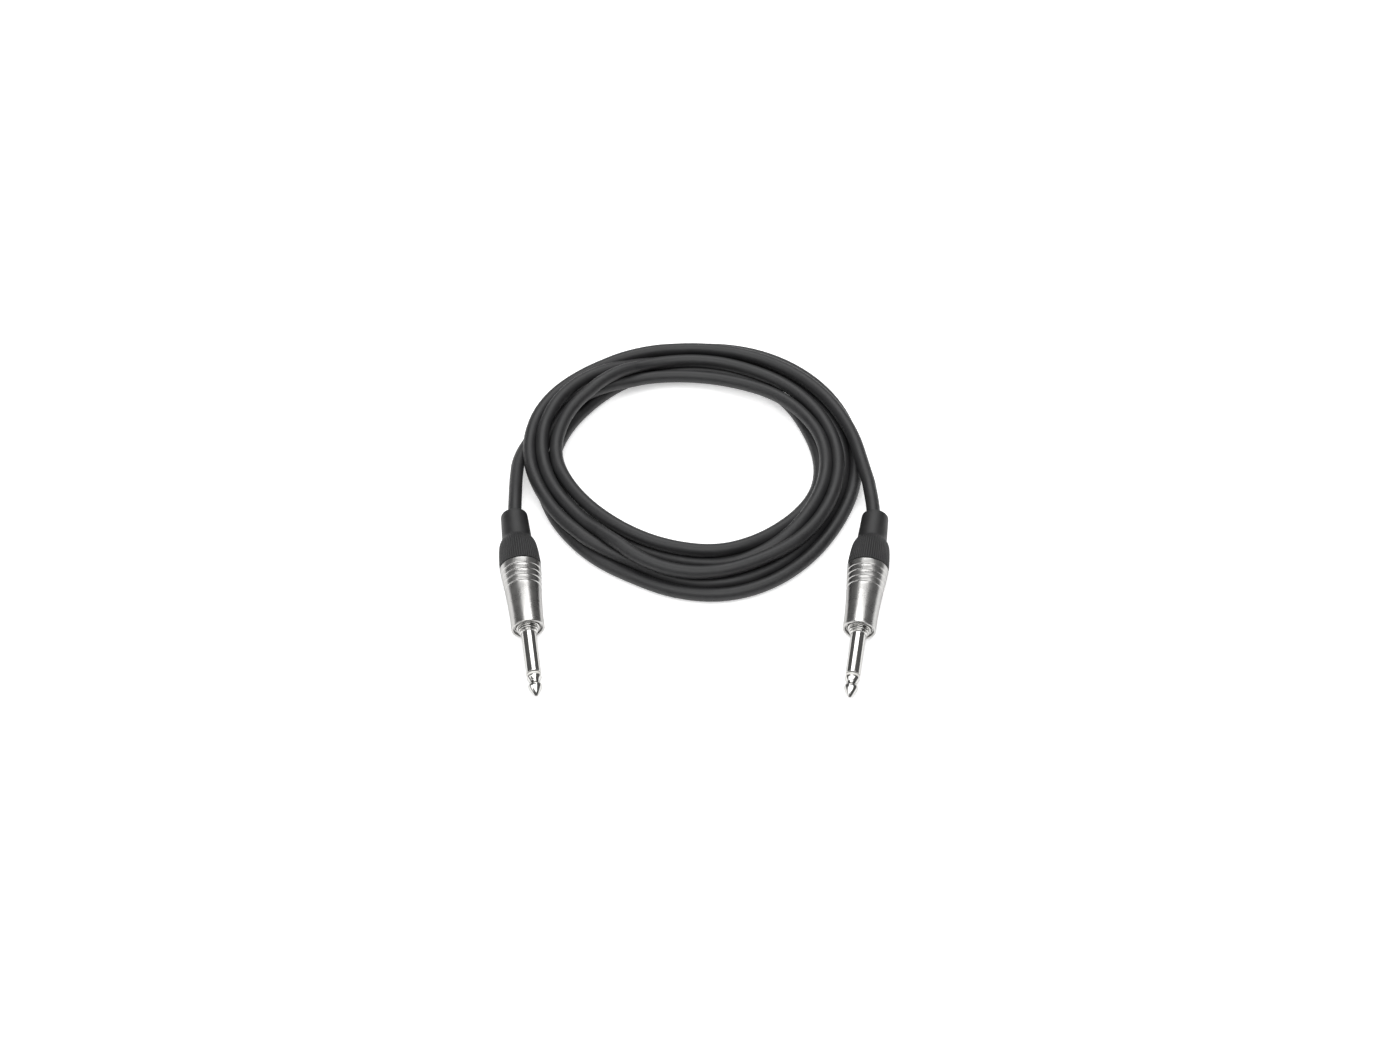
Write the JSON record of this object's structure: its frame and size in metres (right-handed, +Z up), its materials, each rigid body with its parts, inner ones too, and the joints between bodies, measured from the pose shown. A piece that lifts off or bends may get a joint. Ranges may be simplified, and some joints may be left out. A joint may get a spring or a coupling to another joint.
{
  "type": "instrument cable",
  "caption": "Coiled shielded instrument lead with a straight mono jack plug at either end; each plug has a tapered metal barrel and a ribbed screw-on boot.",
  "frame": {"origin": "on the surface the cable lies on, at the bottom centre of the box around the two plugs, so midway between them", "axes": "+Z up; -Y is the side the plug tips point to, with the coil towards +Y; +X runs from the left plug to the right plug"},
  "size_m": [0.1703, 0.2065, 0.018],
  "materials": {
    "black_jacket": "matt extruded PVC",
    "black_plastic": "satin moulded",
    "white_plastic": "satin moulded",
    "clear_plastic": "smooth",
    "fibre": "pressed fibre board",
    "satin_nickel": "satin nickel plate",
    "polished_nickel": "polished nickel plate",
    "brass": "stamped",
    "copper": "drawn wire",
    "solder": "reflowed"
  },
  "bodies": {
    "cable": {"cord_coil": "black_jacket", "cord_tail_left": "black_jacket", "cord_tail_right": "black_jacket", "left_barrel_shell": "satin_nickel", "left_core_conductor": "copper", "left_core_insulation": "white_plastic", "left_ground_solder": "solder", "left_ground_terminal": "brass", "left_jacket_end": "black_jacket", "left_rear_insulator": "fibre", "left_rod_insulator": "white_plastic", "left_shell_liner": "clear_plastic", "left_shield_pigtail": "copper", "left_sleeve_contact": "polished_nickel", "left_tip_contact": "polished_nickel", "left_tip_insulator": "black_plastic", "left_tip_solder": "solder", "left_tip_terminal": "brass", "right_barrel_shell": "satin_nickel", "right_core_conductor": "copper", "right_core_insulation": "white_plastic", "right_ground_solder": "solder", "right_ground_terminal": "brass", "right_jacket_end": "black_jacket", "right_rear_insulator": "fibre", "right_rod_insulator": "white_plastic", "right_shell_liner": "clear_plastic", "right_shield_pigtail": "copper", "right_sleeve_contact": "polished_nickel", "right_tip_contact": "polished_nickel", "right_tip_insulator": "black_plastic", "right_tip_solder": "solder", "right_tip_terminal": "brass"},
    "left_clamp": {"left_chuck": "white_plastic"},
    "left_bushing": {"left_boot": "black_plastic"},
    "right_clamp": {"right_chuck": "white_plastic"},
    "right_bushing": {"right_boot": "black_plastic"}
  },
  "joints": [
    {"name": "left_boot_travel", "type": "slide", "parent": "cable", "child": "left_clamp", "axis": [-0.1682, 0.9838, 0.0628], "range_m": [0, 0.00625]},
    {"name": "left_boot_turn", "type": "hinge", "parent": "left_clamp", "child": "left_bushing", "pos_m": [-0.07516, 0.01845, 0.00901], "axis": [-0.1682, 0.9838, 0.0628], "range_deg": [0, 1800]},
    {"name": "right_boot_travel", "type": "slide", "parent": "cable", "child": "right_clamp", "axis": [0.1784, 0.9819, 0.0628], "range_m": [0, 0.00625]},
    {"name": "right_boot_turn", "type": "hinge", "parent": "right_clamp", "child": "right_bushing", "pos_m": [0.07483, 0.01773, 0.00901], "axis": [0.1784, 0.9819, 0.0628], "range_deg": [0, 1800]}
  ],
  "couplings": [
    {"joint": "left_boot_travel", "follows": "left_boot_turn", "m_per_rad": 0.00019894},
    {"joint": "right_boot_travel", "follows": "right_boot_turn", "m_per_rad": 0.00019894}
  ]
}
